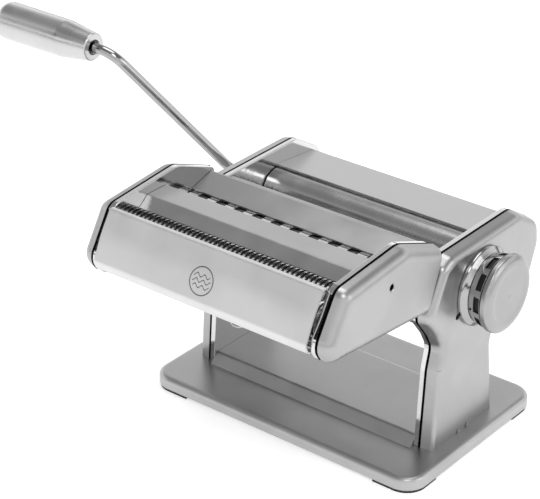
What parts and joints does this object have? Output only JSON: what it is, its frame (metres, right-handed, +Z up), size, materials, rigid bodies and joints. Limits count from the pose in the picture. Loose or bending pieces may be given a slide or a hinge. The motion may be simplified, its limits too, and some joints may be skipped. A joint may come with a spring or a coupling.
{
  "type": "pasta roller machine",
  "caption": "Hand-cranked pasta machine with two dough rollers, a gap knob, a lift-off double cutter head and a bent crank on a stamped base.",
  "frame": {"origin": "on the floor under the centre of the base", "axes": "+X towards the gap knob, +Y to the rear, away from the cutter head, +Z up"},
  "size_m": [0.3545, 0.2088, 0.2037],
  "materials": {
    "satin_steel": "satin nickel-plated sheet steel",
    "polished_steel": "polished chrome",
    "satin_knob": "satin",
    "satin_grip": "satin",
    "anodised_roller": "satin anodised, turned",
    "gear_steel": "machined",
    "zinc_screw": "bright zinc",
    "spring_steel": "drawn wire",
    "brown_bush": "matt",
    "black_rubber": "matt"
  },
  "bodies": {
    "frame": {"base_plate": "satin_steel", "rubber_feet": "black_rubber", "foot_screws": "zinc_screw", "right_inner_plate": "polished_steel", "left_inner_plate": "polished_steel", "right_side_cover": "satin_steel", "left_side_cover": "satin_steel", "tie_rods": "zinc_screw", "tie_rod_nuts": "zinc_screw", "rear_guard": "satin_steel", "hopper_front_plate": "satin_steel", "front_wall": "satin_steel", "roller_bushes": "brown_bush", "rear_scraper": "satin_steel", "hook_guides": "satin_steel", "knob_base_ring": "polished_steel"},
    "drive_roller": {"rear_roller": "anodised_roller", "rear_roller_gear": "gear_steel"},
    "crank": {"crank_rod": "polished_steel", "crank_cross_pin": "zinc_screw", "grip_washer": "zinc_screw", "grip_end_nut": "zinc_screw"},
    "grip": {"crank_grip": "satin_grip"},
    "gap_selector": {"gap_cam_shaft": "gear_steel", "shaft_end_screw": "zinc_screw"},
    "knob": {"knob_drum": "polished_steel", "knob_cap": "satin_knob", "knob_index_pin": "zinc_screw", "knob_pull_spring": "spring_steel"},
    "carriage": {"right_bearing_block": "brown_bush", "left_bearing_block": "brown_bush", "carriage_bar": "zinc_screw", "front_scraper": "satin_steel"},
    "gap_roller": {"front_roller": "anodised_roller", "front_roller_gear": "gear_steel"},
    "cutter_head": {"right_head_plate": "polished_steel", "left_head_plate": "polished_steel", "right_head_cover": "satin_steel", "left_head_cover": "satin_steel", "head_front_cover": "satin_steel", "head_centre_deck": "satin_steel", "head_rear_top_plate": "satin_steel", "head_rear_wall": "satin_steel", "head_tie_rods": "zinc_screw", "head_screws": "zinc_screw", "head_bushes": "brown_bush", "head_hooks": "satin_steel", "head_lift_loop": "spring_steel", "wide_comb_front": "satin_steel", "wide_comb_rear": "satin_steel", "fine_comb_front": "satin_steel", "fine_comb_rear": "satin_steel"},
    "wide_cutter_driven": {"wide_cutter_rear": "anodised_roller", "wide_gear_rear": "gear_steel"},
    "wide_cutter_mate": {"wide_cutter_front": "anodised_roller", "wide_gear_front": "gear_steel"},
    "fine_cutter_driven": {"fine_cutter_rear": "anodised_roller", "fine_gear_rear": "gear_steel"},
    "fine_cutter_mate": {"fine_cutter_front": "anodised_roller", "fine_gear_front": "gear_steel"}
  },
  "joints": [
    {"name": "crank_spin", "type": "hinge", "parent": "frame", "child": "drive_roller", "pos_m": [0, 0.0284, 0.1068], "axis": [1, 0, 0], "continuous": true},
    {"name": "crank_pull", "type": "slide", "parent": "drive_roller", "child": "crank", "axis": [-1, 0, 0], "range_m": [0, 0.025]},
    {"name": "grip_spin", "type": "hinge", "parent": "crank", "child": "grip", "pos_m": [-0.2, -0.0261, 0.1917], "axis": [1, 0, 0], "continuous": true},
    {"name": "gap_turn", "type": "hinge", "parent": "frame", "child": "gap_selector", "pos_m": [0, 0.0118, 0.101], "axis": [1, 0, 0], "range_deg": [0, 324]},
    {"name": "knob_pull", "type": "slide", "parent": "gap_selector", "child": "knob", "axis": [1, 0, 0], "range_m": [0, 0.0035], "stiffness_N_per_m": 1200, "springref_m": -0.002, "deforming": ["knob_pull_spring"]},
    {"name": "carriage_slide", "type": "slide", "parent": "frame", "child": "carriage", "axis": [0, 1, 0], "range_m": [0, 0.0042]},
    {"name": "gap_roller_spin", "type": "hinge", "parent": "carriage", "child": "gap_roller", "pos_m": [0, -0.0028, 0.1068], "axis": [1, 0, 0], "continuous": true},
    {"name": "head_lift", "type": "slide", "parent": "frame", "child": "cutter_head", "axis": [0, 0.394, 0.9191], "range_m": [0, 0.06]},
    {"name": "wide_spin", "type": "hinge", "parent": "cutter_head", "child": "wide_cutter_driven", "pos_m": [0, -0.0515, 0.124], "axis": [1, 0, 0], "continuous": true},
    {"name": "wide_mate_spin", "type": "hinge", "parent": "cutter_head", "child": "wide_cutter_mate", "pos_m": [0, -0.071, 0.124], "axis": [1, 0, 0], "continuous": true},
    {"name": "fine_spin", "type": "hinge", "parent": "cutter_head", "child": "fine_cutter_driven", "pos_m": [0, -0.0933, 0.1274], "axis": [1, 0, 0], "continuous": true},
    {"name": "fine_mate_spin", "type": "hinge", "parent": "cutter_head", "child": "fine_cutter_mate", "pos_m": [0, -0.1128, 0.1274], "axis": [1, 0, 0], "continuous": true}
  ],
  "couplings": [
    {"joint": "carriage_slide", "follows": "gap_turn", "m_per_rad": 0.00074272},
    {"joint": "gap_roller_spin", "follows": "crank_spin", "ratio": -1},
    {"joint": "wide_mate_spin", "follows": "wide_spin", "ratio": -1},
    {"joint": "fine_mate_spin", "follows": "fine_spin", "ratio": -1}
  ]
}
